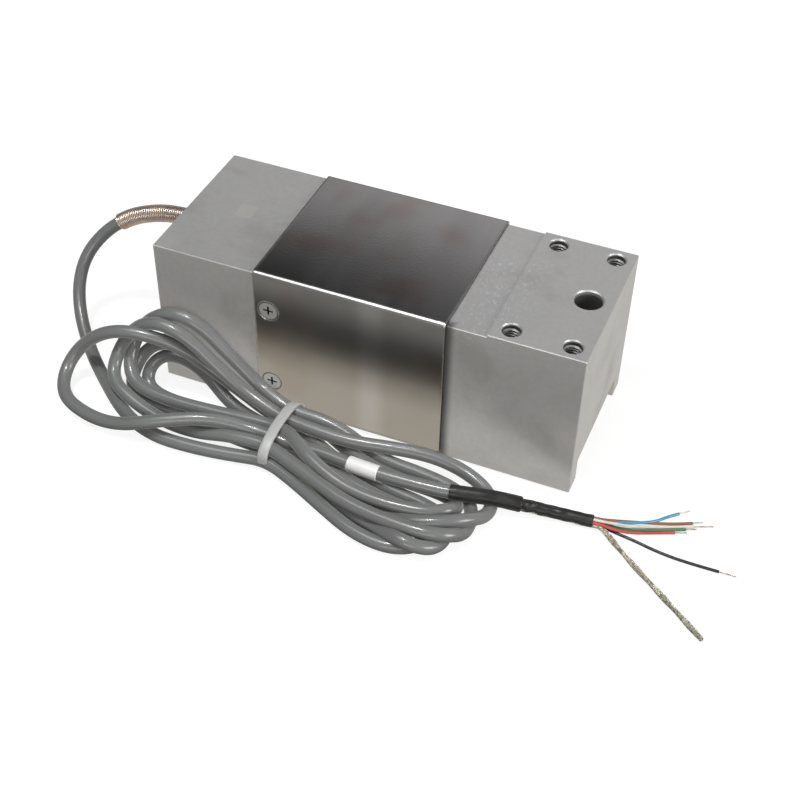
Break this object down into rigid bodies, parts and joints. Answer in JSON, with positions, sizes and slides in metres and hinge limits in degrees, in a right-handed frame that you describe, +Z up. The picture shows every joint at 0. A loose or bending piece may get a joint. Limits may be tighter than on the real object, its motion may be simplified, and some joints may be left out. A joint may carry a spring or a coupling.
{
  "type": "single point load cell",
  "caption": "Solid aluminium bending-beam load cell with a folded steel cover round its sensing middle and a tied grey signal cable with bared wires.",
  "frame": {"origin": "centre of the beam's footprint, on the plane its fixed foot stands on", "axes": "+X along the beam from the cable end to the live end, +Y to the rear, +Z up"},
  "size_m": [0.3232, 0.1388, 0.0739],
  "materials": {
    "body": "milled, faintly stained, matt",
    "cover": "satin stainless sheet with soft reflections",
    "gasket": "black foam strip",
    "screw": "plain stainless",
    "gauge": "amber carrier film",
    "board": "green laminate",
    "resistor": "black",
    "terminal": "amber laminate",
    "lead_sleeve": "white sleeving",
    "core": "coloured insulation",
    "potting": "cloudy white silicone",
    "bush": "black",
    "cable_jacket": "smooth grey jacket with a slight gloss",
    "spring": "close-wound stainless wire",
    "tie": "natural white nylon",
    "marker": "white, plain",
    "black_sleeve": "shrunk-on, slightly creased",
    "blue_wire": "plain",
    "brown_wire": "plain",
    "white_wire": "plain",
    "red_wire": "plain",
    "black_wire": "plain",
    "green_wire": "plain",
    "tinned": "tinned copper strands",
    "braid": "twisted tinned copper braid"
  },
  "bodies": {
    "root": {"load_cell_body": "body", "middle_cover": "cover", "cover_gasket": "gasket", "cover_screws_front": "screw", "cover_screws_rear": "screw", "strain_gauge_top_fixed": "gauge", "strain_gauge_top_live": "gauge", "strain_gauge_bottom_fixed": "gauge", "strain_gauge_bottom_live": "gauge", "compensation_board": "board", "trim_resistors": "resistor", "solder_terminals": "terminal", "bottom_gauge_leads": "lead_sleeve", "cable_cores": "core", "top_potting": "potting", "bottom_potting": "potting", "cable_bush": "bush", "cable_inner_length": "cable_jacket", "spring_guard": "spring", "cable_lead_in": "cable_jacket", "cable_hank": "cable_jacket", "cable_tie": "tie", "cable_tail": "cable_jacket", "marker_sleeve": "marker", "outer_sleeve": "black_sleeve", "inner_sleeve": "black_sleeve", "conductor_blue": "blue_wire", "conductor_brown": "brown_wire", "conductor_white": "white_wire", "conductor_red": "red_wire", "conductor_black": "black_wire", "conductor_green": "green_wire", "tip_blue": "tinned", "tip_brown": "tinned", "tip_white": "tinned", "tip_red": "tinned", "tip_black": "tinned", "tip_green": "tinned", "shield_braid": "braid"}
  },
  "joints": []
}
